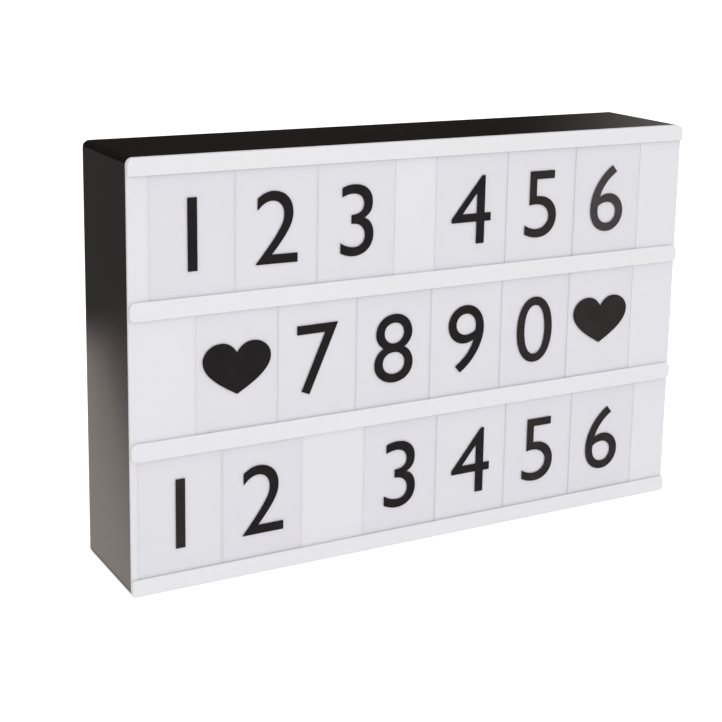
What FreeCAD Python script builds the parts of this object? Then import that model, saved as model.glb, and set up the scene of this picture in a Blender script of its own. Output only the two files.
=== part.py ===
import FreeCAD, Part
import math
import os

from FreeCAD import Vector as V

# Cinema light box: a black box with an opal front, three rows of sliding film
# tiles held by four white rails, a battery bay, a switch and a power inlet at
# the back. Millimetres, +Z up, the front faces -Y, the origin is the middle of
# the base. Depths below are counted from the plane of the rails, going back.

# ---- outer sizes
WIDTH = 300.0
HEIGHT = 198.0
DEPTH = 60.0
CORNERS = (1.8, 3.2)    # lower and upper corners of the box in front view
BACK_EDGE_R = 1.6       # rounding of the rear outer edge

# ---- front panel and rails (depths)
BAR_T = 1.0             # rail bar thickness, 0 .. 1.0
SHEET_FRONT = 1.65      # face of the opal sheet
SHEET_T = 1.35
CASE_FRONT = 3.0        # where the white panel meets the black frame
SPIGOT_BACK = 12.0
# (name, low z, high z, radii of the lower and upper corners) of each rail bar
RAILS = [
    ("bottom_rail", 0.0, 7.8, (1.0, 1.2)),
    ("lower_rail", 62.8, 71.4, (2.6, 3.0)),
    ("upper_rail", 126.4, 135.0, (2.6, 3.0)),
    ("top_rail", 190.0, 198.0, (0.6, 3.2)),
]
ROWS = {1: (135.0, 190.0), 2: (71.4, 126.4), 3: (7.8, 62.8)}
GROOVE = 2.3            # how far each groove goes behind a bar's edge
TILE_LAP = 2.0          # how far a tile goes behind a bar's edge

# ---- film tiles
TILE_W = 40.0
TILE_T = 0.35
TILE_FRONT = 1.15       # depth of a tile's front face
# left edge of every tile, from the box's left side
TILES = {
    1: [9.6, 50.2, 90.8, 153.0, 193.4, 233.8],
    2: [30.8, 71.3, 111.7, 152.1, 192.5, 232.9],
    3: [3.2, 43.8, 116.6, 157.0, 197.4, 237.8],
}

# ---- black frame
WALL = 2.2
LEDGE_FRONT, LEDGE_BACK = 39.0, 41.0     # ring that carries the reflector
FLANGE_FRONT, FLANGE_BACK = 55.0, 57.6   # ring that carries the rear cover
COVER_W, COVER_H = 290.8, 188.8
SCREWS = [(-140.5, 9.5), (140.5, 9.5), (-140.5, 188.5), (140.5, 188.5), (0.0, 8.6), (0.0, 189.4)]

# ---- light
REFLECTOR_FRONT, REFLECTOR_T = 38.0, 1.0
STRIP_Z = [35.3, 98.9, 162.5]
STRIP_L, STRIP_H, STRIP_T = 264.0, 8.0, 1.2
LED = 5.0
LEDS_PER_STRIP = 6

# ---- battery bay, seen from the back (opening in the rear cover)
BAY_X = 56.0
BAY_Z0, BAY_Z1 = 64.0, 116.0
DOOR_GAP = 0.35
DOOR_T = 1.8
TRAY_X, TRAY_Z0, TRAY_Z1 = 56.8, 60.6, 116.4
TRAY_WALL = 1.6
TRAY_FLOOR = 41.0       # depth of the inner face of the tray's floor
CELL_R, CELL_L = 7.25, 49.5
CELL_D = 48.4           # depth of the cells' axes
CELL_Z = [71.6, 86.9, 102.2]

# ---- switch and inlet
BOARD_X0, BOARD_X1, BOARD_Z0, BOARD_Z1 = -126.0, -86.0, 14.0, 52.0
BOARD_FRONT, BOARD_T = 51.0, 1.2
SWITCH_X, SWITCH_Z = -106.0, 24.0
SWITCH_TRAVEL = 4.0
INLET_X, INLET_Z = -106.0, 42.0

# ---- keyhole hangers
KEY_X, KEY_Z = 100.0, 152.0
KEY_R, KEY_SLOT, KEY_UP = 4.5, 4.4, 11.0

Y0 = -DEPTH / 2


def box(x0, x1, d0, d1, z0, z1):
    return Part.makeBox(x1 - x0, d1 - d0, z1 - z0, V(x0, Y0 + d0, z0))


def slab(x0, x1, z0, z1, r, d0, d1):
    """A prism through the depth whose corners are rounded in front view. r is one radius, or a lower and an upper one."""
    most = min((x1 - x0) / 2 - 0.001, (z1 - z0) / 2 - 0.001)
    lo, hi = (min(v, most) for v in (r if isinstance(r, tuple) else (r, r)))
    y = Y0 + d0
    pts = []
    for cx, cz, a, r in ((x1 - lo, z0 + lo, -90, lo), (x1 - hi, z1 - hi, 0, hi), (x0 + hi, z1 - hi, 90, hi), (x0 + lo, z0 + lo, 180, lo)):
        p = [V(cx + r * math.cos(math.radians(a + k)), y, cz + r * math.sin(math.radians(a + k))) for k in (0, 45, 90)]
        pts.append(p)
    edges = []
    for i, p in enumerate(pts):
        edges.append(Part.Arc(*p).toShape())
        q = pts[(i + 1) % 4][0]
        if p[2].distanceToPoint(q) > 1e-4:
            edges.append(Part.makeLine(p[2], q))
    return Part.Face(Part.Wire(Part.__sortEdges__(edges))).extrude(V(0, d1 - d0, 0))


def rod(x, z, r, d0, d1):
    return Part.makeCylinder(r, d1 - d0, V(x, Y0 + d0, z), V(0, 1, 0))


def rod_x(x0, x1, d, z, r):
    return Part.makeCylinder(r, x1 - x0, V(x0, Y0 + d, z), V(1, 0, 0))


def edges_at(shape, test):
    return [e for e in shape.Edges if test(e)]


def y_of(d):
    return Y0 + d


made = []


def out(name, shape):
    os.makedirs("parts", exist_ok=True)
    shape = shape.removeSplitter() if len(shape.Solids) == 1 else shape
    shape.exportStep("parts/%s.step" % name)
    made.append((name, len(shape.Solids), shape.isValid(), round(shape.Volume / 1000, 3)))


# ---------------------------------------------------------------- rails
for name, z0, z1, corners in RAILS:
    bar = slab(-WIDTH / 2, WIDTH / 2, z0, z1, corners, 0.0, BAR_T)
    rim = edges_at(bar, lambda e: abs(e.BoundBox.YMin - y_of(0)) < 1e-4 and abs(e.BoundBox.YMax - y_of(0)) < 1e-4)
    bar = bar.makeFillet(0.45, rim)
    out(name, bar)

# ---------------------------------------------------------------- opal panel
sheet = slab(-WIDTH / 2, WIDTH / 2, 0, HEIGHT, CORNERS, SHEET_FRONT, SHEET_FRONT + SHEET_T)
sheet = sheet.makeFillet(
    0.5,
    edges_at(sheet, lambda e: abs(e.BoundBox.YMin - y_of(SHEET_FRONT)) < 1e-4 and abs(e.BoundBox.YMax - y_of(SHEET_FRONT)) < 1e-4),
)
inner = WALL + 0.2 + 1.7
lip = WALL + 0.2
spigot = slab(-WIDTH / 2 + lip, WIDTH / 2 - lip, lip, HEIGHT - lip, 2.0, CASE_FRONT - 0.5, SPIGOT_BACK).cut(
    slab(-WIDTH / 2 + inner, WIDTH / 2 - inner, inner, HEIGHT - inner, 1.5, CASE_FRONT, SPIGOT_BACK + 1)
)
panel = sheet.fuse(spigot)
rib_z = []
for name, z0, z1, corners in RAILS:
    low = z0 + (GROOVE if z0 > 1 else 0.6)
    high = z1 - (GROOVE if z1 < HEIGHT - 1 else 0.6)
    rib_z.append((low, high))
    panel = panel.fuse(slab(-WIDTH / 2 + 1.2, WIDTH / 2 - 1.2, low, high, 1.0, BAR_T, SHEET_FRONT + 0.2))
# snap barbs that click into pockets in the frame
BARB_X = [-105.0, 0.0, 105.0]
BARB_Z = [50.0, 148.0]
barbs = []
for x in BARB_X:
    barbs.append(box(x - 5, x + 5, 9.8, 11.2, lip - 0.5, lip + 0.4))
    barbs.append(box(x - 5, x + 5, 9.8, 11.2, HEIGHT - lip - 0.4, HEIGHT - lip + 0.5))
for z in BARB_Z:
    barbs.append(box(-WIDTH / 2 + lip - 0.5, -WIDTH / 2 + lip + 0.4, 9.8, 11.2, z - 5, z + 5))
    barbs.append(box(WIDTH / 2 - lip - 0.4, WIDTH / 2 - lip + 0.5, 9.8, 11.2, z - 5, z + 5))
panel = panel.fuse(barbs)
out("front_panel", panel)

# ---------------------------------------------------------------- black frame
frame = slab(-WIDTH / 2, WIDTH / 2, 0, HEIGHT, CORNERS, CASE_FRONT, DEPTH)
back_rim = edges_at(frame, lambda e: abs(e.BoundBox.YMin - y_of(DEPTH)) < 1e-4)
frame = frame.makeFillet(BACK_EDGE_R, back_rim)
front_rim = edges_at(frame, lambda e: abs(e.BoundBox.YMax - y_of(CASE_FRONT)) < 1e-4)
frame = frame.makeChamfer(0.35, front_rim)
cavity = slab(-WIDTH / 2 + WALL, WIDTH / 2 - WALL, WALL, HEIGHT - WALL, (0.8, 1.8), CASE_FRONT - 1, FLANGE_FRONT)
frame = frame.cut(cavity)
FL = 13.5               # flange opening, from the outside of the box
frame = frame.cut(slab(-WIDTH / 2 + FL, WIDTH / 2 - FL, FL, HEIGHT - FL, 4.0, FLANGE_FRONT - 1, DEPTH + 1))
frame = frame.cut(
    slab(-COVER_W / 2 - 0.3, COVER_W / 2 + 0.3, HEIGHT / 2 - COVER_H / 2 - 0.3, HEIGHT / 2 + COVER_H / 2 + 0.3, 2.3, FLANGE_BACK, DEPTH + 1)
)
ledge = slab(-WIDTH / 2 + WALL - 0.3, WIDTH / 2 - WALL + 0.3, WALL - 0.3, HEIGHT - WALL + 0.3, 1.5, LEDGE_FRONT, LEDGE_BACK).cut(
    slab(-WIDTH / 2 + 8.5, WIDTH / 2 - 8.5, 8.5, HEIGHT - 8.5, 2.0, LEDGE_FRONT - 1, LEDGE_BACK + 1)
)
frame = frame.fuse(ledge)
for x, z in SCREWS:
    boss = rod(x, z, 3.4, 46.0, FLANGE_FRONT + 0.5)
    # a web ties each boss to the wall next to it
    edge = 0.5 if z < HEIGHT / 2 else HEIGHT - 0.5
    web = box(x - 1.0, x + 1.0, 46.0, FLANGE_FRONT + 0.5, min(z, edge), max(z, edge))
    frame = frame.fuse([boss, web])
for x, z in SCREWS:
    frame = frame.cut(rod(x, z, 1.25, 48.0, FLANGE_BACK + 1))
for x in BARB_X:
    frame = frame.cut(box(x - 6, x + 6, 9.4, 11.6, lip - 0.9, lip + 0.4))
    frame = frame.cut(box(x - 6, x + 6, 9.4, 11.6, HEIGHT - lip - 0.4, HEIGHT - lip + 0.9))
for z in BARB_Z:
    frame = frame.cut(box(-WIDTH / 2 + lip - 0.9, -WIDTH / 2 + lip + 0.4, 9.4, 11.6, z - 6, z + 6))
    frame = frame.cut(box(WIDTH / 2 - lip - 0.4, WIDTH / 2 - lip + 0.9, 9.4, 11.6, z - 6, z + 6))
out("housing_frame", frame)

# ---------------------------------------------------------------- rear cover
cover = slab(-COVER_W / 2, COVER_W / 2, HEIGHT / 2 - COVER_H / 2, HEIGHT / 2 + COVER_H / 2, 2.0, FLANGE_BACK, DEPTH)
cover = cover.makeChamfer(0.3, edges_at(cover, lambda e: abs(e.BoundBox.YMin - y_of(DEPTH)) < 1e-4))
cover = cover.cut(slab(-BAY_X, BAY_X, BAY_Z0, BAY_Z1, 1.5, FLANGE_BACK - 1, DEPTH + 1))
# thumb notch above the door
cover = cover.cut(slab(-9.0, 9.0, BAY_Z1 - 2.0, BAY_Z1 + 5.0, 2.5, DEPTH - 1.2, DEPTH + 1))
for x, z in SCREWS:
    cover = cover.cut(rod(x, z, 1.6, FLANGE_BACK - 1, DEPTH + 1))
    cover = cover.cut(rod(x, z, 2.9, DEPTH - 1.5, DEPTH + 1))
# switch dish and window
cover = cover.cut(slab(SWITCH_X - 11, SWITCH_X + 11, SWITCH_Z - 6, SWITCH_Z + 6, 3.0, DEPTH - 1.0, DEPTH + 1))
cover = cover.cut(slab(SWITCH_X - 4.6, SWITCH_X + 4.6, SWITCH_Z - 2.0, SWITCH_Z + 2.0, 0.4, FLANGE_BACK - 1, DEPTH + 1))
# inlet dish and port
cover = cover.cut(slab(INLET_X - 8.5, INLET_X + 8.5, INLET_Z - 5, INLET_Z + 5, 3.0, DEPTH - 1.0, DEPTH + 1))
cover = cover.cut(slab(INLET_X - 4.8, INLET_X + 4.8, INLET_Z - 1.95, INLET_Z + 1.95, 1.9, FLANGE_BACK - 1, DEPTH + 1))
# keyholes: a round entry with a slot going up
for s in (-1, 1):
    cover = cover.cut(rod(s * KEY_X, KEY_Z, KEY_R, FLANGE_BACK - 1, DEPTH + 1))
    cover = cover.cut(slab(s * KEY_X - KEY_SLOT / 2, s * KEY_X + KEY_SLOT / 2, KEY_Z, KEY_Z + KEY_UP, 2.19, FLANGE_BACK - 1, DEPTH + 1))
# stiffening ribs inside
ribs = []
for x in (-78.0, 78.0):
    ribs.append(box(x - 0.8, x + 0.8, FLANGE_BACK - 4.0, FLANGE_BACK + 0.2, 16.0, 182.0))
ribs.append(box(-132.0, 132.0, FLANGE_BACK - 4.0, FLANGE_BACK + 0.2, 133.2, 134.8))
cover = cover.fuse(ribs)
# posts for the control board
POSTS = [(-121.0, 33.0), (-91.0, 33.0)]
for x, z in POSTS:
    cover = cover.fuse(rod(x, z, 2.6, BOARD_FRONT + BOARD_T, FLANGE_BACK + 0.2))
    cover = cover.cut(rod(x, z, 1.0, BOARD_FRONT, DEPTH - 0.9))
EARS = [(-62.2, 68.0), (-62.2, 109.0), (62.2, 68.0), (62.2, 109.0)]
for x, z in EARS:
    cover = cover.cut(rod(x, z, 1.1, FLANGE_BACK - 0.5, DEPTH - 0.6))
out("back_cover", cover)


def screw(x, z, head_back, head_r, head_h, shank_r, tip, toward=-1):
    """A pan-head screw along the depth: head_back is the outer face of the head."""
    if toward < 0:      # driven from the back, the shank goes to lower depths
        s = rod(x, z, head_r, head_back - head_h, head_back)
        s = s.makeFillet(0.35, edges_at(s, lambda e: abs(e.BoundBox.YMin - y_of(head_back)) < 1e-4 and len(e.Vertexes) == 1))
        s = s.fuse(rod(x, z, shank_r, tip, head_back - head_h + 0.1))
        a, b = head_back - 0.8, head_back + 0.5
    else:               # driven from the front
        s = rod(x, z, head_r, head_back, head_back + head_h)
        s = s.fuse(rod(x, z, shank_r, head_back + head_h - 0.1, tip))
        a, b = head_back - 0.5, head_back + 0.8
    k = head_r * 0.62
    s = s.cut(box(x - k, x + k, a, b, z - 0.35, z + 0.35))
    s = s.cut(box(x - 0.35, x + 0.35, a, b, z - k, z + k))
    return s


out("cover_screws", Part.makeCompound([screw(x, z, 59.9, 2.6, 1.4, 1.2, 49.0) for x, z in SCREWS]))

# ---------------------------------------------------------------- battery tray
tray = box(-TRAY_X - TRAY_WALL, TRAY_X + TRAY_WALL, TRAY_FLOOR - 1.5, FLANGE_BACK, TRAY_Z0 - TRAY_WALL, TRAY_Z1 + TRAY_WALL)
tray = tray.cut(box(-TRAY_X, TRAY_X, TRAY_FLOOR, FLANGE_BACK + 1, TRAY_Z0, TRAY_Z1))
tray = tray.fuse(box(-0.8, 0.8, TRAY_FLOOR - 0.5, 53.0, TRAY_Z0 - 0.2, TRAY_Z1 + 0.2))
for x, z in EARS:
    s = 1 if x > 0 else -1
    ear = slab(min(x - s * 4.2, x + s * 3.4), max(x - s * 4.2, x + s * 3.4), z - 3.6, z + 3.6, 0.8, FLANGE_BACK - 2.0, FLANGE_BACK)
    tray = tray.fuse(ear).cut(rod(x, z, 1.25, FLANGE_BACK - 3, FLANGE_BACK + 1))
# cradles under the cells
for col in (-1, 1):
    for at in (14.0, 42.0):
        x = col * at
        for z in CELL_Z:
            c = box(x - 1.0, x + 1.0, TRAY_FLOOR - 0.2, TRAY_FLOOR + 1.6, z - 5.0, z + 5.0)
            c = c.cut(rod_x(x - 2, x + 2, CELL_D, z, CELL_R + 0.05))
            tray = tray.fuse(c)
for z in (CELL_Z[0] - 2.0, CELL_Z[0] + 2.0):
    tray = tray.cut(rod_x(-TRAY_X - TRAY_WALL - 1, -TRAY_X + 0.5, CELL_D, z, 0.9))
# finger recess in the tray's upper wall, behind the thumb notch
out("battery_box", tray)
out("box_screws", Part.makeCompound([screw(x, z, FLANGE_BACK - 3.5, 2.1, 1.5, 1.05, DEPTH - 0.7, 1) for x, z in EARS]))

# ---------------------------------------------------------------- cells and contacts
cells, springs, plates = [], [], []
WIRE_R = 0.32


def coil(x, z, direction):
    """A conical spring, 4.6 mm tall: four wire rings, one behind the other, joined by slanting links. It grows from x along direction (1 or -1)."""
    y = y_of(CELL_D)
    rings = [(0.36, 4.2), (1.56, 3.8), (2.76, 3.4), (3.96, 3.0)]
    s = None
    for h, r in rings:
        t = Part.makeTorus(r, WIRE_R, V(x + direction * h, y, z), V(1, 0, 0))
        s = t if s is None else s.fuse(t)
    for k in range(3):
        (h0, r0), (h1, r1) = rings[k], rings[k + 1]
        side = 1 if k % 2 else -1
        p = V(x + direction * h0, y, z + side * r0)
        q = V(x + direction * h1, y, z + side * r1)
        s = s.fuse(Part.makeCylinder(WIRE_R * 0.8, (q - p).Length, p, q - p))
    return s


for col in (-1, 1):
    lo, hi = (0.8, TRAY_X) if col > 0 else (-TRAY_X, -0.8)
    for i, z in enumerate(CELL_Z):
        plus_low = (i % 2 == 0)
        plates.append(box(lo + 0.02, lo + 0.4, CELL_D - 5.5, CELL_D + 5.5, z - 5.0, z + 5.0))
        plates.append(box(hi - 0.4, hi - 0.02, CELL_D - 5.5, CELL_D + 5.5, z - 5.0, z + 5.0))
        if plus_low:
            a = lo + 0.45
            body = rod_x(a + 1.0, a + 1.0 + CELL_L, CELL_D, z, CELL_R)
            nub = rod_x(a, a + 1.1, CELL_D, z, 2.75)
            springs.append(coil(hi - 0.4, z, -1))
        else:
            b = hi - 0.45
            body = rod_x(b - 1.0 - CELL_L, b - 1.0, CELL_D, z, CELL_R)
            nub = rod_x(b - 1.1, b, CELL_D, z, 2.75)
            springs.append(coil(lo + 0.4, z, 1))
        rims = edges_at(body, lambda e: len(e.Vertexes) == 1)
        body = body.makeFillet(0.6, rims)
        cells.append(body.fuse(nub).removeSplitter())
out("battery_cells", Part.makeCompound(cells))
out("contact_springs", Part.makeCompound(springs))
out("contact_plates", Part.makeCompound(plates))

# ---------------------------------------------------------------- battery door
door = slab(-BAY_X + DOOR_GAP, BAY_X - DOOR_GAP, BAY_Z0 + DOOR_GAP, BAY_Z1 - DOOR_GAP, 1.2, DEPTH - DOOR_T, DEPTH)
door = door.makeChamfer(0.25, edges_at(door, lambda e: abs(e.BoundBox.YMin - y_of(DEPTH)) < 1e-4))
zd = BAY_Z0 + DOOR_GAP   # the pivot line: lower outer edge of the door
for x in (-38.0, 38.0):
    stem = box(x - 4, x + 4, DEPTH - 4.0, DEPTH - DOOR_T + 0.2, zd + 0.4, zd + 3.0)
    tongue = box(x - 4, x + 4, DEPTH - 4.0, DEPTH - 2.85, zd - 2.0, zd + 3.0)
    door = door.fuse([stem, tongue])
# latch finger with a thumb tab in the notch, and grip ridges
finger = box(-6.5, 6.5, DEPTH - 4.6, DEPTH - DOOR_T + 0.2, BAY_Z1 - 4.2, BAY_Z1 - 2.8)
tab = slab(-6.5, 6.5, BAY_Z1 - 3.2, BAY_Z1 + 2.6, 1.6, DEPTH - 0.85, DEPTH - 0.1)
door = door.fuse([finger, tab])
slits = [box(s * 8.2 - 0.5, s * 8.2 + 0.5, DEPTH - DOOR_T - 1, DEPTH + 1, BAY_Z1 - 13.0, BAY_Z1 + 1) for s in (-1, 1)]
door = door.cut(slits)
for k in range(4):
    z = BAY_Z1 - 9.6 + 1.7 * k
    door = door.cut(box(-5.5, 5.5, DEPTH - 0.5, DEPTH + 1, z - 0.35, z + 0.35))
# two inner ribs that hold the cells down
for x in (-27.0, 27.0):
    door = door.fuse(box(x - 0.8, x + 0.8, DEPTH - 3.3, DEPTH - DOOR_T + 0.2, zd + 6.0, BAY_Z1 - 8.0))
out("battery_door", door)

# ---------------------------------------------------------------- switch, inlet, board
board = box(BOARD_X0, BOARD_X1, BOARD_FRONT, BOARD_FRONT + BOARD_T, BOARD_Z0, BOARD_Z1)
for x, z in POSTS:
    board = board.cut(rod(x, z, 1.3, BOARD_FRONT - 1, BOARD_FRONT + BOARD_T + 1))
out("control_board", board)
out("board_screws", Part.makeCompound([screw(x, z, BOARD_FRONT - 1.4, 2.1, 1.4, 0.95, 58.4, 1) for x, z in POSTS]))

can = box(SWITCH_X - 7, SWITCH_X + 7, 52.2, 57.0, SWITCH_Z - 3.3, SWITCH_Z + 3.3)
can = can.cut(box(SWITCH_X - 6.6, SWITCH_X + 6.6, 52.9, 56.6, SWITCH_Z - 2.9, SWITCH_Z + 2.9))
can = can.cut(slab(SWITCH_X - 4.7, SWITCH_X + 4.7, SWITCH_Z - 2.0, SWITCH_Z + 2.0, 0.3, 56.0, 58.0))
out("switch_body", can)

kx = SWITCH_X - SWITCH_TRAVEL / 2
knob = box(kx - 2.8, kx + 2.8, 53.5, 56.1, SWITCH_Z - 2.5, SWITCH_Z + 2.5)
cap = box(kx - 2.2, kx + 2.2, 55.9, 59.7, SWITCH_Z - 1.6, SWITCH_Z + 1.6)
for k in (-1, 0, 1):
    cap = cap.cut(box(kx + k * 1.2 - 0.25, kx + k * 1.2 + 0.25, 59.35, 60.5, SWITCH_Z - 2, SWITCH_Z + 2))
out("switch_slider", knob.fuse(cap))

shell = slab(INLET_X - 4.47, INLET_X + 4.47, INLET_Z - 1.63, INLET_Z + 1.63, 1.6, 52.2, 59.0)
shell = shell.cut(slab(INLET_X - 4.17, INLET_X + 4.17, INLET_Z - 1.28, INLET_Z + 1.28, 1.26, 53.4, 60.0))
shell = shell.fuse(box(INLET_X - 3.35, INLET_X + 3.35, 53.2, 58.4, INLET_Z - 0.35, INLET_Z + 0.35))
out("power_inlet", shell)

# ---------------------------------------------------------------- light
reflector = slab(-WIDTH / 2 + 5, WIDTH / 2 - 5, 5, HEIGHT - 5, 2.0, REFLECTOR_FRONT, REFLECTOR_FRONT + REFLECTOR_T)
WIRE_X, WIRE_Z = -128.0, 66.0
reflector = reflector.cut(slab(WIRE_X - 1.9, WIRE_X + 1.9, WIRE_Z - 0.9, WIRE_Z + 0.9, 0.85, REFLECTOR_FRONT - 1, REFLECTOR_FRONT + REFLECTOR_T + 1))
out("reflector_sheet", reflector)

chips = []
for name, z in zip(("led_strip_lower", "led_strip_middle", "led_strip_upper"), STRIP_Z):
    strip = box(-STRIP_L / 2, STRIP_L / 2, REFLECTOR_FRONT - STRIP_T, REFLECTOR_FRONT, z - STRIP_H / 2, z + STRIP_H / 2)
    out(name, strip)
    for k in range(LEDS_PER_STRIP):
        x = (k - (LEDS_PER_STRIP - 1) / 2) * 46.0
        front = REFLECTOR_FRONT - STRIP_T
        chip = box(x - LED / 2, x + LED / 2, front - 1.6, front, z - LED / 2, z + LED / 2)
        chip = chip.cut(Part.makeCone(2.0, 1.7, 0.4, V(x, y_of(front - 1.6), z), V(0, 1, 0)))
        chips.append(chip)
out("led_chips", Part.makeCompound(chips))
resistors = []
for z in STRIP_Z:
    for k in range(LEDS_PER_STRIP):
        x = (k - (LEDS_PER_STRIP - 1) / 2) * 46.0 + 9.0
        front = REFLECTOR_FRONT - STRIP_T
        resistors.append(box(x - 1.6, x + 1.6, front - 0.6, front, z - 0.8, z + 0.8))
out("strip_resistors", Part.makeCompound(resistors))


# ---------------------------------------------------------------- wires
def wire(points, r, bend=3.0):
    """A round wire through the points (x, depth, z), with rounded bends."""
    p = [V(x, y_of(d), z) for x, d, z in points]
    parts = []
    at = p[0]
    for i in range(1, len(p) - 1):
        a, b, c = p[i - 1], p[i], p[i + 1]
        u, w = (a - b).normalize(), (c - b).normalize()
        k = min(bend, (a - b).Length * 0.45, (c - b).Length * 0.45)
        s, e = b + u * k, b + w * k
        n = u.cross(w)
        if n.Length < 1e-6:
            continue
        ang = math.acos(max(-1, min(1, u.dot(w))))
        rad = k * math.tan(ang / 2)
        bis = (u + w).normalize()
        centre = b + bis * (rad / math.sin(ang / 2))
        mid = centre - bis * rad
        parts.append(Part.makeLine(at, s))
        parts.append(Part.Arc(s, mid, e).toShape())
        at = e
    parts.append(Part.makeLine(at, p[-1]))
    path = Part.Wire(parts)
    t = p[1] - p[0]
    prof = Part.Wire([Part.Circle(p[0], t, r).toShape()])
    return path.makePipeShell([prof], True, False)


red = wire([(-56.85, CELL_D, CELL_Z[0] + 2.0), (-72.0, CELL_D, CELL_Z[0] + 2.0), (-102.0, 46.0, 60.0), (-102.0, 46.0, 49.0), (-102.0, 50.95, 49.0)], 0.7)
black = wire([(-56.85, CELL_D, CELL_Z[0] - 2.0), (-68.0, CELL_D, CELL_Z[0] - 2.0), (-96.0, 46.0, 56.0), (-96.0, 46.0, 48.0), (-96.0, 50.95, 48.0)], 0.7)
out("battery_wire_red", red)
out("battery_wire_black", black)

strip_wires = []
for k, dx in ((0, -1.0), (1, 1.0)):
    x = WIRE_X + dx
    strip_wires.append(
        wire([(-112.0 - 4 * k, 50.95, 48.0), (-112.0 - 4 * k, 45.0, 48.0), (x, 45.0, WIRE_Z), (x, 34.5, WIRE_Z), (x, 34.5, STRIP_Z[1] + 1.5 * (k * 2 - 1)), (x, 36.75, STRIP_Z[1] + 1.5 * (k * 2 - 1))], 0.6, 2.0)
    )
for (za, zb) in ((STRIP_Z[0] + 2, STRIP_Z[1] - 2.8), (STRIP_Z[1] + 2.8, STRIP_Z[2] - 2)):
    for x in (-122.0, -118.5):
        strip_wires.append(wire([(x, 36.75, za), (x, 34.6, za), (x, 34.6, zb), (x, 36.75, zb)], 0.6, 1.6))
out("strip_wires", Part.makeCompound(strip_wires))

# ---------------------------------------------------------------- film tiles
for row, lefts in TILES.items():
    z0, z1 = ROWS[row]
    for i, left in enumerate(lefts):
        x0 = -WIDTH / 2 + left
        tile = slab(x0, x0 + TILE_W, z0 - TILE_LAP, z1 + TILE_LAP, 1.0, TILE_FRONT, TILE_FRONT + TILE_T)
        out("tile_%d_%d" % (row, i + 1), tile)

for m in made:
    print(*m)
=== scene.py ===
"""Cinema light box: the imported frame, its finishes, the printed figures, and a plain studio."""
import math

import bmesh
import bpy
from mathutils import Matrix, Vector


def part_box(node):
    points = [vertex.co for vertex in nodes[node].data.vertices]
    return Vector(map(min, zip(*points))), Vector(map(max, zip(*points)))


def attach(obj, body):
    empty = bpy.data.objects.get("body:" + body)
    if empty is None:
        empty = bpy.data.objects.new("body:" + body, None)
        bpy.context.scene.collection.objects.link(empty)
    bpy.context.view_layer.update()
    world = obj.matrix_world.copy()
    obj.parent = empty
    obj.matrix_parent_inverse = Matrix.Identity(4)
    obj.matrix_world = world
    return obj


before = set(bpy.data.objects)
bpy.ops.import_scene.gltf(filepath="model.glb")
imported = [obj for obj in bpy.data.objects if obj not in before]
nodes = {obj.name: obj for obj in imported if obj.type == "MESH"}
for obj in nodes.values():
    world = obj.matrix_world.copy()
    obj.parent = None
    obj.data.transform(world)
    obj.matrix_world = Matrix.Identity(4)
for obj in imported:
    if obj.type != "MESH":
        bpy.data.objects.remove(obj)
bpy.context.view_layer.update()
MM = 0.001


# ---------------------------------------------------------------- camera

cam_data = bpy.data.cameras.new("camera")
cam = bpy.data.objects.new("camera", cam_data)
bpy.context.scene.collection.objects.link(cam)
RIGHT = Vector((0.871918, -0.489247, 0.019909))
UP = Vector((0.080484, 0.183305, 0.979756))
BACK = Vector((-0.482992, -0.852665, 0.199204))
turn = Matrix((RIGHT, UP, BACK)).transposed().to_4x4()
cam.matrix_world = Matrix.Translation((-0.368656, -0.63658, 0.298456)) @ turn
cam_data.sensor_width = 36.0
cam_data.lens = 76.444
cam_data.shift_x = -0.0333
cam_data.shift_y = -0.18
cam_data.clip_start = 0.01
cam_data.clip_end = 60.0
bpy.context.scene.camera = cam
bpy.context.scene.view_settings.view_transform = "Standard"
bpy.context.scene.view_settings.look = "None"


# ---------------------------------------------------------------- node helpers


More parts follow.
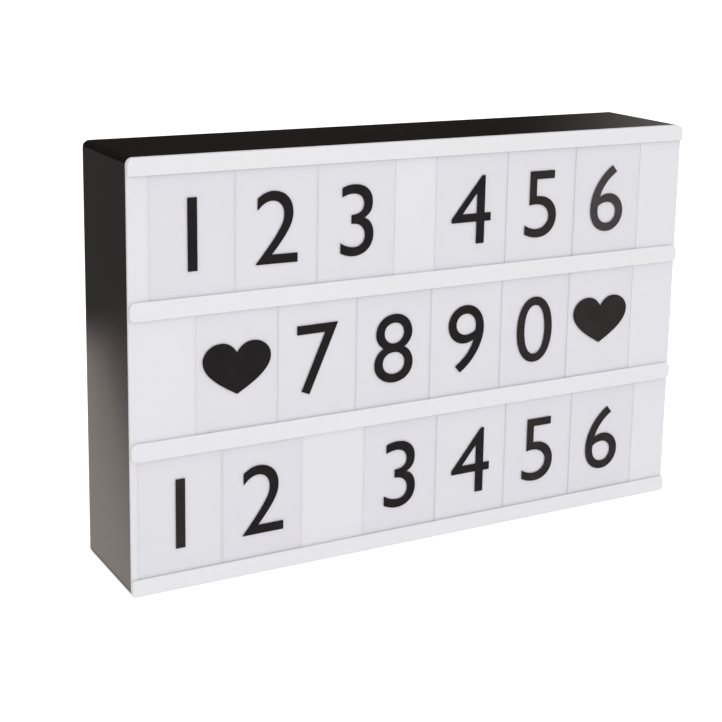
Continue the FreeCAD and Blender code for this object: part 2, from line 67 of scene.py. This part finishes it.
class Finish:
    """A material on one Principled shader, with the nodes that vary it. Lengths are in metres."""

    def __init__(self, name, color, rough, metal=0.0, **plain):
        self.m = bpy.data.materials.new(name)
        self.m.use_nodes = True
        self.t = self.m.node_tree
        self.b = self.t.nodes["Principled BSDF"]
        self.b.inputs["Base Color"].default_value = (*color, 1.0)
        self.b.inputs["Roughness"].default_value = rough
        self.b.inputs["Metallic"].default_value = metal
        self.m.diffuse_color = (*color, 1.0)
        for k, v in plain.items():
            self.b.inputs[k.replace("_", " ")].default_value = v
        self.coords = self.t.nodes.new("ShaderNodeTexCoord")
        self.height = None

    def node(self, kind, **inputs):
        n = self.t.nodes.new(kind)
        for k, v in inputs.items():
            n.inputs[k.replace("_", " ")].default_value = v
        return n

    def link(self, a, b):
        self.t.links.new(a, b)
        return b

    def space(self, stretch=(1, 1, 1), out="Object"):
        """Coordinates of the mesh itself, stretched: the pattern is 1/stretch as long on an axis."""
        if tuple(stretch) == (1, 1, 1):
            return self.coords.outputs[out]
        n = self.node("ShaderNodeMapping")
        n.inputs["Scale"].default_value = stretch
        self.link(self.coords.outputs[out], n.inputs["Vector"])
        return n.outputs["Vector"]

    def noise(self, size, detail=3.0, rough=0.5, stretch=(1, 1, 1), distort=0.0):
        """Noise with features about size metres across, from 0 to 1."""
        n = self.node("ShaderNodeTexNoise", Scale=1.0 / size, Detail=detail, Roughness=rough, Distortion=distort)
        self.link(self.space(stretch), n.inputs["Vector"])
        return n.outputs["Fac"]

    def cells(self, size, feature="F1", stretch=(1, 1, 1)):
        n = self.node("ShaderNodeTexVoronoi", Scale=1.0 / size)
        n.feature = feature
        self.link(self.space(stretch), n.inputs["Vector"])
        return n.outputs["Distance"]

    def span(self, value, lo, hi, a=0.0, b=1.0, smooth=True):
        """value from lo..hi becomes a..b."""
        n = self.node("ShaderNodeMapRange")
        n.interpolation_type = "SMOOTHSTEP" if smooth else "LINEAR"
        for k, v in (("From Min", lo), ("From Max", hi), ("To Min", a), ("To Max", b)):
            n.inputs[k].default_value = v
        self.link(value, n.inputs["Value"])
        return n.outputs["Result"]

    def math(self, op, a, b=None, clamp=False):
        n = self.node("ShaderNodeMath")
        n.operation = op
        n.use_clamp = clamp
        for i, v in enumerate((a, b)):
            if v is None:
                continue
            if isinstance(v, (int, float)):
                n.inputs[i].default_value = v
            else:
                self.link(v, n.inputs[i])
        return n.outputs[0]

    def mix(self, fac, a, b):
        """Two colours, or a colour and a socket, mixed by fac."""
        n = self.node("ShaderNodeMix")
        n.data_type = "RGBA"
        self.link(fac, n.inputs["Factor"]) if not isinstance(fac, float) else setattr(n.inputs["Factor"], "default_value", fac)
        for key, v in (("A", a), ("B", b)):
            s = [i for i in n.inputs if i.name == key and i.type == "RGBA"][0]
            if isinstance(v, tuple):
                s.default_value = (*v, 1.0)
            else:
                self.link(v, s)
        return [o for o in n.outputs if o.type == "RGBA"][0]

    def color(self, socket):
        self.link(socket, self.b.inputs["Base Color"])
        return self

    def rough(self, socket):
        self.link(socket, self.b.inputs["Roughness"])
        return self

    def bump(self, socket, depth, strength=1.0):
        """Adds a bump whose full height is depth metres."""
        n = self.node("ShaderNodeBump", Strength=strength, Distance=depth)
        self.link(socket, n.inputs["Height"])
        if self.height is not None:
            self.link(self.height, n.inputs["Normal"])
        self.height = n.outputs["Normal"]
        self.link(self.height, self.b.inputs["Normal"])
        return self


def sr(r, g, b):
    """A screen colour, 0 to 255, as linear numbers."""
    f = lambda c: c / 12.92 if c <= 0.04045 else ((c + 0.055) / 1.055) ** 2.4
    return tuple(f(v / 255.0) for v in (r, g, b))


# ---------------------------------------------------------------- finishes


def black_moulding(name, dark, light, rough, grain, grain_depth, streaks=0.0, tint=(1.0, 0.97, 0.95)):
    """Black moulded plastic: a spark-eroded grain, a slow change of tone, and light handling marks."""
    f = Finish(name, dark, rough, Specular_Tint=(*tint, 1.0))
    slow = f.noise(0.06, 3.0, 0.55)
    fine = f.noise(grain, 2.0, 0.6)
    tone = f.math("ADD", f.span(slow, 0.3, 0.7, 0.0, 0.7), f.span(fine, 0.35, 0.7, 0.0, 0.3))
    f.color(f.mix(tone, dark, light))
    rub = f.span(f.noise(0.018, 4.0, 0.62, stretch=(1, 1, 0.25)), 0.42, 0.72, 0.0, 1.0)
    r = f.span(slow, 0.3, 0.7, rough - 0.02, rough + 0.02)
    r = f.math("ADD", r, f.math("MULTIPLY", rub, 0.02))
    if streaks:
        lines = f.span(f.noise(0.0011, 3.0, 0.7, stretch=(1, 1, 0.035)), 0.58, 0.80, 0.0, streaks)
        r = f.math("ADD", r, lines)
    f.rough(r)
    f.bump(fine, grain_depth, 0.55)
    f.bump(f.cells(grain * 1.7), grain_depth * 0.6, 0.35)
    return f.m


def white_moulding(name, a, b, rough, speck=0.0, vary=0.05, wave=0.00003):
    """White plastic: even, with a barely uneven surface and a little dust."""
    f = Finish(name, a, rough)
    slow = f.noise(0.05, 2.0, 0.5)
    c = f.mix(f.span(slow, 0.35, 0.65), a, b)
    if speck:
        dust = f.span(f.noise(0.0016, 2.0, 0.5), 0.74, 0.80, 0.0, speck)
        c = f.mix(dust, c, tuple(v * 0.80 for v in a))
    f.color(c)
    f.rough(f.span(f.noise(0.011, 4.0, 0.6), 0.35, 0.7, rough - vary, rough + vary))
    f.bump(f.noise(0.014, 1.0, 0.5), wave, 0.35)
    f.bump(f.noise(0.0006, 2.0, 0.5), 0.000006, 0.4)
    return f.m


def metal(name, color, rough, stretch=(1, 1, 1), lines=0.0002):
    f = Finish(name, color, rough, 1.0)
    s = f.noise(lines, 3.0, 0.6, stretch=stretch)
    f.color(f.mix(f.span(s, 0.3, 0.75), tuple(v * 0.82 for v in color), color))
    f.rough(f.span(s, 0.3, 0.75, rough + 0.10, rough - 0.03))
    f.bump(s, 0.00001, 0.4)
    return f.m


def wire_jacket(name, color):
    f = Finish(name, color, 0.36)
    n = f.noise(0.004, 3.0, 0.6)
    f.color(f.mix(f.span(n, 0.3, 0.7), tuple(v * 0.86 for v in color), color))
    f.rough(f.span(n, 0.3, 0.7, 0.30, 0.46))
    f.bump(f.noise(0.0008, 2.0, 0.5), 0.00001, 0.4)
    return f.m


BLACK_A, BLACK_B = sr(24, 21, 20), sr(28, 25, 24)
FIN = {}
FIN["black_case"] = black_moulding("case_black", BLACK_A, BLACK_B, 0.155, 0.0007, 0.00001, streaks=0.02, tint=(1.0, 0.90, 0.85))
FIN["black_cover"] = black_moulding("cover_black", sr(31, 30, 30), sr(40, 39, 38), 0.42, 0.0009, 0.00005)
FIN["black_inner"] = black_moulding("inner_black", sr(32, 31, 30), sr(40, 38, 37), 0.55, 0.0008, 0.00003)
FIN["black_knob"] = black_moulding("knob_black", sr(22, 22, 23), sr(30, 30, 31), 0.38, 0.0004, 0.00002)
FIN["opal_panel"] = white_moulding("panel_opal", (0.810, 0.801, 0.840), (0.821, 0.813, 0.850), 0.36, 0.05, 0.012, 0.00001)
FIN["white_rail"] = white_moulding("rail_white", (0.834, 0.826, 0.852), (0.839, 0.831, 0.857), 0.32, 0.04, 0.008, 0.00001)
FIN["white_sheet"] = white_moulding("sheet_white", (0.84, 0.84, 0.84), (0.88, 0.88, 0.88), 0.6, 0.1)


def film(name, alpha):
    """Clear film with a faint grey cast, light scuffs, and cut edges painted dark grey and less clear, a painted
    shade that reads as thin lines.
    """
    f = Finish(name, (0.78, 0.77, 0.82), 0.20)
    sep = f.node("ShaderNodeSeparateXYZ")
    f.link(f.coords.outputs["Normal"], sep.inputs["Vector"])
    face_not_shaded_edge = f.span(f.math("ABSOLUTE", sep.outputs["Y"]), 0.4, 0.6, smooth=False)
    haze = f.span(f.noise(0.02, 4.0, 0.6), 0.4, 0.7)
    c = f.mix(haze, (0.76, 0.75, 0.80), (0.80, 0.79, 0.84))
    # the film's cut edges get a dark grey colour and more opacity: painted shade for the thin lines along the
    # tiles' edges
    f.color(f.mix(face_not_shaded_edge, (0.42, 0.42, 0.45), c))
    scuff = f.span(f.noise(0.0012, 4.0, 0.7, stretch=(0.06, 1, 1)), 0.60, 0.80)
    f.rough(f.math("ADD", f.math("MULTIPLY", scuff, 0.10), f.span(haze, 0.0, 1.0, 0.18, 0.22)))
    f.bump(f.noise(0.012, 2.0, 0.5), 0.00002, 0.4)
    f.link(f.span(face_not_shaded_edge, 0.0, 1.0, 0.42, alpha, smooth=False), f.b.inputs["Alpha"])
    return f.m


# the sheets were cut from three rolls, one a little greyer than the next
FILMS = [film("film_clear_a", 0.036), film("film_clear_b", 0.043), film("film_clear_c", 0.050)]
ROLL = {1: (2, 1, 1, 2, 0, 1), 2: (1, 0, 2, 1, 2, 0), 3: (0, 2, 1, 0, 1, 2)}


def printed_ink(name, a, b):
    """Black screen ink on film: dense, slightly warm, with a faint unevenness of the film under it."""
    f = Finish(name, a, 0.34, Specular_IOR_Level=0.16)
    n = f.noise(0.010, 3.0, 0.6)
    f.color(f.mix(f.span(n, 0.3, 0.7), a, b))
    f.rough(f.span(f.noise(0.004, 4.0, 0.6), 0.3, 0.7, 0.30, 0.38))
    f.bump(f.noise(0.0009, 2.0, 0.5), 0.000008, 0.4)
    return f.m


INK = printed_ink("ink_black", sr(20, 18, 18), sr(26, 23, 23))
# two lighter copies of the ink: painted sheen, standing in for the film's reflection over the figures on the
# right-hand side
INK_LIGHTER = printed_ink("ink_black_lighter", sr(33, 30, 30), sr(42, 38, 38))
INK_LIGHTEST = printed_ink("ink_black_lightest", sr(60, 55, 56), sr(68, 63, 64))


def board(name, mask, trace, line):
    """Solder mask with the slightly raised, lighter runs of its copper under it."""
    f = Finish(name, mask, 0.32)
    n = f.node("ShaderNodeTexBrick")
    n.offset = 0.37
    n.inputs["Scale"].default_value = 1.0
    n.inputs["Brick Width"].default_value = line * 7.0
    n.inputs["Row Height"].default_value = line * 2.2
    n.inputs["Mortar Size"].default_value = line * 0.28
    n.inputs["Mortar Smooth"].default_value = 0.2
    rot = f.node("ShaderNodeMapping")
    rot.inputs["Rotation"].default_value = (math.pi / 2, 0, 0)
    f.link(f.coords.outputs["Object"], rot.inputs["Vector"])
    f.link(rot.outputs["Vector"], n.inputs["Vector"])
    f.color(f.mix(n.outputs["Fac"], mask, trace))
    f.rough(f.span(f.noise(0.002, 3.0, 0.6), 0.3, 0.7, 0.26, 0.40))
    f.bump(n.outputs["Fac"], 0.00004, 0.5)
    return f.m


FIN["white_board"] = board("board_white", (0.78, 0.78, 0.76), (0.70, 0.70, 0.67), 0.004)
FIN["green_board"] = board("board_green", (0.010, 0.085, 0.030), (0.022, 0.150, 0.055), 0.0016)


def lamp_face():
    f = Finish("lamp_yellow", (0.80, 0.62, 0.12), 0.30)
    n = f.noise(0.0005, 3.0, 0.6)
    f.color(f.mix(f.span(n, 0.3, 0.7), (0.78, 0.58, 0.08), (0.86, 0.70, 0.20)))
    f.rough(f.span(n, 0.3, 0.7, 0.25, 0.4))
    f.bump(n, 0.00002, 0.4)
    return f.m


FIN["led_yellow"] = lamp_face()
FIN["black_chip"] = black_moulding("chip_black", sr(22, 22, 22), sr(34, 34, 34), 0.42, 0.0002, 0.00001)


def cell_sleeve():
    """A plain printed sleeve: grey, with a lighter band at one end and a thin ring at the other."""
    f = Finish("cell_sleeve", (0.10, 0.12, 0.15), 0.30)
    sep = f.node("ShaderNodeSeparateXYZ")
    f.link(f.coords.outputs["Object"], sep.inputs["Vector"])
    x = f.math("ABSOLUTE", sep.outputs["X"])
    band = f.math("MULTIPLY", f.span(x, 0.0395, 0.0397), f.span(x, 0.0505, 0.0507, 1.0, 0.0))
    ring = f.math("MULTIPLY", f.span(x, 0.0085, 0.0087), f.span(x, 0.0100, 0.0102, 1.0, 0.0))
    n = f.noise(0.008, 3.0, 0.6)
    c = f.mix(f.span(n, 0.3, 0.7), (0.085, 0.100, 0.125), (0.11, 0.13, 0.16))
    c = f.mix(band, c, (0.55, 0.57, 0.60))
    f.color(f.mix(ring, c, (0.55, 0.57, 0.60)))
    f.rough(f.span(n, 0.3, 0.7, 0.22, 0.36))
    f.bump(f.noise(0.0015, 2.0, 0.5), 0.00001, 0.4)
    return f.m


FIN["cell_jacket"] = cell_sleeve()
FIN["nickel_contact"] = metal("contact_nickel", (0.66, 0.63, 0.57), 0.26)
FIN["steel_shell"] = metal("shell_steel", (0.62, 0.62, 0.63), 0.24, stretch=(1, 1, 0.1))
FIN["steel_screw"] = metal("screw_steel", (0.30, 0.30, 0.31), 0.34)
FIN["red_wire"] = wire_jacket("wire_red", (0.55, 0.020, 0.018))
FIN["black_wire"] = wire_jacket("wire_black", (0.018, 0.018, 0.019))
FIN["white_wire"] = wire_jacket("wire_white", (0.74, 0.74, 0.72))

for name, ob in nodes.items():
    for s in ob.material_slots:
        was = s.material.name if s.material else ""
        key = was.split(".")[0]
        if key == "film_tile":
            row, k = (int(v) for v in name.split("_")[1:])
            s.material = FILMS[ROLL[row][k - 1]]
        elif key in FIN:
            s.material = FIN[key]
        else:
            print("SLOT without a finish:", name, was)


# ---------------------------------------------------------------- geometry helpers


def new_object(name, verts, faces, mat, smooth=False):
    me = bpy.data.meshes.new(name)
    me.from_pydata([tuple(v) for v in verts], [], faces)
    me.materials.append(mat)
    if smooth:
        me.shade_smooth()
    me.update()
    ob = bpy.data.objects.new(name, me)
    bpy.context.scene.collection.objects.link(ob)
    return ob


def plate(name, outline, front_y, back_y, mat, body):
    """A flat closed outline in (x, z), in metres, made a thin plate between two depths."""
    cu = bpy.data.curves.new(name, "CURVE")
    cu.dimensions = "2D"
    cu.fill_mode = "BOTH"
    for ring in outline:
        sp = cu.splines.new("POLY")
        sp.points.add(len(ring) - 1)
        for p, (x, z) in zip(sp.points, ring):
            p.co = (x, z, 0, 1)
        sp.use_cyclic_u = True
    return fill_to_plate(name, cu, None, front_y, back_y, mat, body)


def fill_to_plate(name, cu, place, front_y, back_y, mat, body):
    """Fills a 2-D curve or figure, places it by place(x, z) and gives it thickness."""
    ob = bpy.data.objects.new(name + "_outline", cu)
    bpy.context.scene.collection.objects.link(ob)
    bpy.context.view_layer.update()
    me = bpy.data.meshes.new_from_object(ob.evaluated_get(bpy.context.evaluated_depsgraph_get()))
    bpy.data.objects.remove(ob)
    bm = bmesh.new()
    bm.from_mesh(me)
    bpy.data.meshes.remove(me)
    bmesh.ops.remove_doubles(bm, verts=bm.verts, dist=1e-6)
    if place is not None:
        lo = [min(v.co[i] for v in bm.verts) for i in (0, 1)]
        hi = [max(v.co[i] for v in bm.verts) for i in (0, 1)]
        for v in bm.verts:
            v.co.x, v.co.y = place(v.co.x, v.co.y, lo, hi)
    for v in bm.verts:
        v.co = Vector((v.co.x, front_y, v.co.y))
    made = bmesh.ops.extrude_face_region(bm, geom=list(bm.faces))
    for v in [g for g in made["geom"] if isinstance(g, bmesh.types.BMVert)]:
        v.co.y = back_y
    bmesh.ops.recalc_face_normals(bm, faces=bm.faces)
    for f in bm.faces:
        f.smooth = False
    out = bpy.data.meshes.new(name)
    bm.to_mesh(out)
    bm.free()
    out.materials.append(mat)
    piece = bpy.data.objects.new(name, out)
    bpy.context.scene.collection.objects.link(piece)
    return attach(piece, body)


# ---------------------------------------------------------------- figures on the tiles

# the ink lies on the face of the film, 0.06 mm thick
TILE_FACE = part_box("tile_1_1")[0].y
INK_FRONT, INK_BACK = TILE_FACE - 0.06 * MM, TILE_FACE + 0.01 * MM


def digit(name, char, body, cx, cz, tall=33.4, tilt=0.0, wide=1.0, ink=INK):
    """A plain figure of the built-in face, tall millimetres high, centred at (cx, cz) millimetres."""
    cu = bpy.data.curves.new(name, "FONT")
    cu.body = char
    cu.resolution_u = 10
    cu.offset = -0.002
    s = tall * MM / 0.69
    c, n = math.cos(math.radians(tilt)), math.sin(math.radians(tilt))

    def place(x, y, lo, hi):
        u = (x - (lo[0] + hi[0]) / 2) * s * wide
        w = (y - (lo[1] + hi[1]) / 2) * s
        return cx * MM + u * c - w * n, cz * MM + u * n + w * c

    return fill_to_plate(name, cu, place, INK_FRONT, INK_BACK, ink, body)


def bezier(p0, p1, p2, p3, n):
    out = []
    for i in range(n):
        t = i / n
        a, b, c, d = (1 - t) ** 3, 3 * t * (1 - t) ** 2, 3 * t * t * (1 - t), t ** 3
        out.append(tuple(a * p0[k] + b * p1[k] + c * p2[k] + d * p3[k] for k in (0, 1)))
    return out


def heart(name, body, cx, cz, width=33.4, tall=24.3, tilt=0.0, ink=INK):
    half = (
        bezier((0, 0.20), (0.10, 0.085), (0.25, 0.0), (0.47, 0.0), 14)
        + bezier((0.47, 0.0), (0.763, 0.0), (1.0, 0.143), (1.0, 0.32), 16)
        + bezier((1.0, 0.32), (1.0, 0.62), (0.38, 0.85), (0.0, 1.0), 24)
    )
    ring = half + [(0.0, 1.0)] + [(-x, y) for x, y in reversed(half[1:])]
    c, n = math.cos(math.radians(tilt)), math.sin(math.radians(tilt))
    pts = []
    for x, y in ring:
        u, w = x * width / 2, (0.5 - y) * tall
        pts.append(((cx + u * c - w * n) * MM, (cz + u * n + w * c) * MM))
    return plate(name, [pts], INK_FRONT, INK_BACK, ink, body)


ROWS = {
    1: ("123456", (0.3, -0.4, 0.2, 0.0, -0.2, 0.3)),
    2: ("h7890h", (0.0, 0.6, 0.2, -0.3, 0.3, 0.0)),
    3: ("123456", (0.0, 0.4, -0.3, 0.2, 0.0, 0.3)),
}
# the figures in the two right-hand columns get lighter ink, a painted sheen for the film's reflection there, the
# top right figure the lightest; the first figure of the bottom row also gets the lighter ink
INKS = {(1, 4): INK_LIGHTER, (1, 5): INK_LIGHTEST, (2, 4): INK_LIGHTER, (2, 5): INK_LIGHTER, (3, 0): INK_LIGHTER, (3, 4): INK_LIGHTER, (3, 5): INK_LIGHTER}
for row, (chars, tilts) in ROWS.items():
    for k, char in enumerate(chars):
        tile = f"tile_{row}_{k + 1}"
        lo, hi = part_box(tile)
        mx, mz = (lo.x + hi.x) / 2 / MM, (lo.z + hi.z) / 2 / MM
        if char == "h":
            heart(f"figure_{row}_{k + 1}", tile, mx, mz + 1.0, tilt=tilts[k], ink=INKS.get((row, k), INK))
        else:
            digit(f"figure_{row}_{k + 1}", char, tile, mx, mz + 0.3, tilt=tilts[k], ink=INKS.get((row, k), INK))


# ---------------------------------------------------------------- marks by the switch

PRINT = printed_ink("print_grey", sr(150, 150, 148), sr(166, 166, 164))


def mark(name, char, cx, cz, tall=3.4):
    """A small figure printed on the rear cover, read from behind."""
    cu = bpy.data.curves.new(name, "FONT")
    cu.body = char
    cu.resolution_u = 8
    s = tall * MM / 0.69

    def place(x, y, lo, hi):
        return cx * MM - (x - (lo[0] + hi[0]) / 2) * s, cz * MM + (y - (lo[1] + hi[1]) / 2) * s

    return fill_to_plate(name, cu, place, 29.98 * MM, 30.05 * MM, PRINT, "light_box")


mark("switch_mark_0", "0", -120.6, 24.0)
mark("switch_mark_1", "1", -91.4, 24.0)


# ---------------------------------------------------------------- studio


def stage_material(name, color, rough):
    f = Finish(name, color, rough)
    f.color(f.mix(f.span(f.noise(0.6, 2.0, 0.5), 0.3, 0.7), color, tuple(min(1.0, v * 1.02) for v in color)))
    return f


def flat(name, x0, x1, y0, y1, z, finish):
    ob = new_object(name, [(x0, y0, z), (x1, y0, z), (x1, y1, z), (x0, y1, z)], [(0, 1, 2, 3)], finish.m)
    return ob


def only_in_gloss(ob):
    """A reflection card of the studio: it is seen in glossy surfaces and nowhere else."""
    ob.visible_camera = ob.visible_diffuse = ob.visible_transmission = False
    ob.visible_shadow = ob.visible_volume_scatter = False


# A pale table, lit from below so that it stays white under the camera.
table = stage_material("floor_pale", (0.88, 0.88, 0.88), 0.8)
table.b.inputs["Emission Color"].default_value = (1, 1, 1, 1)
seen = table.node("ShaderNodeLightPath")
table.link(table.math("ADD", table.math("MULTIPLY", seen.outputs["Is Camera Ray"], 0.62), 0.05), table.b.inputs["Emission Strength"])
flat("floor", -6, 6, -6, 6, -0.0002, table)

# A grey card beside the box. Its warm strip runs along the box's left side and fades outwards,
# quickly far behind the box and slowly beside it.
card = stage_material("card_warm_strip", (0.006, 0.005, 0.005), 0.9)
place = card.node("ShaderNodeSeparateXYZ")
card.link(card.coords.outputs["Object"], place.inputs["Vector"])
line = card.math("MULTIPLY", card.math("SUBTRACT", place.outputs["Y"], 0.203), -0.243)
off = card.math("SUBTRACT", card.math("SUBTRACT", place.outputs["X"], -0.2308), line)
reach = card.span(place.outputs["Y"], 0.06, 0.34, 0.026, 0.004, smooth=False)
fade = card.node("ShaderNodeMapRange")
fade.interpolation_type = "SMOOTHSTEP"
card.link(off, fade.inputs["Value"])
card.link(card.math("MULTIPLY", reach, -1.0), fade.inputs["From Min"])
card.link(reach, fade.inputs["From Max"])
far = card.span(place.outputs["Y"], 0.33, 0.47, 1.0, 0.0)
card.link(card.mix(card.math("MULTIPLY", fade.outputs["Result"], far), (0.087, 0.075, 0.080), (0.975, 0.885, 0.822)), card.b.inputs["Emission Color"])
card.b.inputs["Emission Strength"].default_value = 1.0
only_in_gloss(flat("card_beside", -6.0, -0.151, -0.8, 6.0, 0.001, card))

world = bpy.data.worlds.new("world")
bpy.context.scene.world = world
world.use_nodes = True
wt = world.node_tree
wt.nodes.clear()


def wnode(kind, **inputs):
    n = wt.nodes.new(kind)
    for k, v in inputs.items():
        n.inputs[k.replace("_", " ")].default_value = v
    return n


def wrange(value, lo, hi, a, b):
    n = wnode("ShaderNodeMapRange")
    n.interpolation_type = "SMOOTHSTEP"
    for k, v in (("From Min", lo), ("From Max", hi), ("To Min", a), ("To Max", b)):
        n.inputs[k].default_value = v
    wt.links.new(value, n.inputs["Value"])
    return n.outputs["Result"]


def wmath(op, a, b):
    n = wnode("ShaderNodeMath")
    n.operation = op
    for i, v in enumerate((a, b)):
        if isinstance(v, (int, float)):
            n.inputs[i].default_value = v
        else:
            wt.links.new(v, n.inputs[i])
    return n.outputs[0]


def wcolor(fac, a, b):
    n = wnode("ShaderNodeMix")
    n.data_type = "RGBA"
    wt.links.new(fac, [i for i in n.inputs if i.name == "Factor" and i.type == "VALUE"][0])
    for key, v in (("A", a), ("B", b)):
        sock = [i for i in n.inputs if i.name == key and i.type == "RGBA"][0]
        if isinstance(v, tuple):
            sock.default_value = (*v, 1.0)
        else:
            wt.links.new(v, sock)
    return [o for o in n.outputs if o.type == "RGBA"][0]


# The studio round the table: bright above and in front, dark low down behind the object.
SKY_LOW, SKY_HIGH = 0.70, 0.95
direction = wnode("ShaderNodeTexCoord").outputs["Generated"]
sep = wnode("ShaderNodeSeparateXYZ")
wt.links.new(direction, sep.inputs["Vector"])
ahead = wrange(sep.outputs["Y"], -0.10, 0.30, 0.0, 1.0)
low = wrange(sep.outputs["Z"], 0.40, 0.80, 1.0, 0.0)
right_end = wrange(sep.outputs["X"], 0.555, 0.80, 1.0, 0.0)
shade = wmath("MULTIPLY", wmath("MULTIPLY", ahead, low), right_end)
high = wrange(sep.outputs["Z"], 0.10, 0.60, 0.0, 1.0)
bright = wcolor(high, (SKY_LOW,) * 3, (SKY_HIGH,) * 3)
lit = wcolor(shade, bright, (0.022, 0.018, 0.016))
path = wnode("ShaderNodeLightPath")
back = wnode("ShaderNodeBackground", Strength=1.0)
wt.links.new(wcolor(path.outputs["Is Camera Ray"], lit, (1.0, 1.0, 1.0)), back.inputs["Color"])
out = wnode("ShaderNodeOutputWorld")
wt.links.new(back.outputs["Background"], out.inputs["Surface"])


def softbox(name, at, aim, size, power, tint=(1, 1, 1)):
    l = bpy.data.lights.new(name, "AREA")
    l.shape = "RECTANGLE"
    l.size, l.size_y = size
    l.energy = power
    l.color = tint
    o = bpy.data.objects.new(name, l)
    bpy.context.scene.collection.objects.link(o)
    o.location = at
    o.rotation_mode = "QUATERNION"
    o.rotation_quaternion = (Vector(at) - Vector(aim)).to_track_quat("Z", "Y")
    o.visible_glossy = False
    return o


softbox("key", (-0.7, -1.7, 0.55), (0.0, 0.0, 0.1), (1.5, 1.0), 6.0)
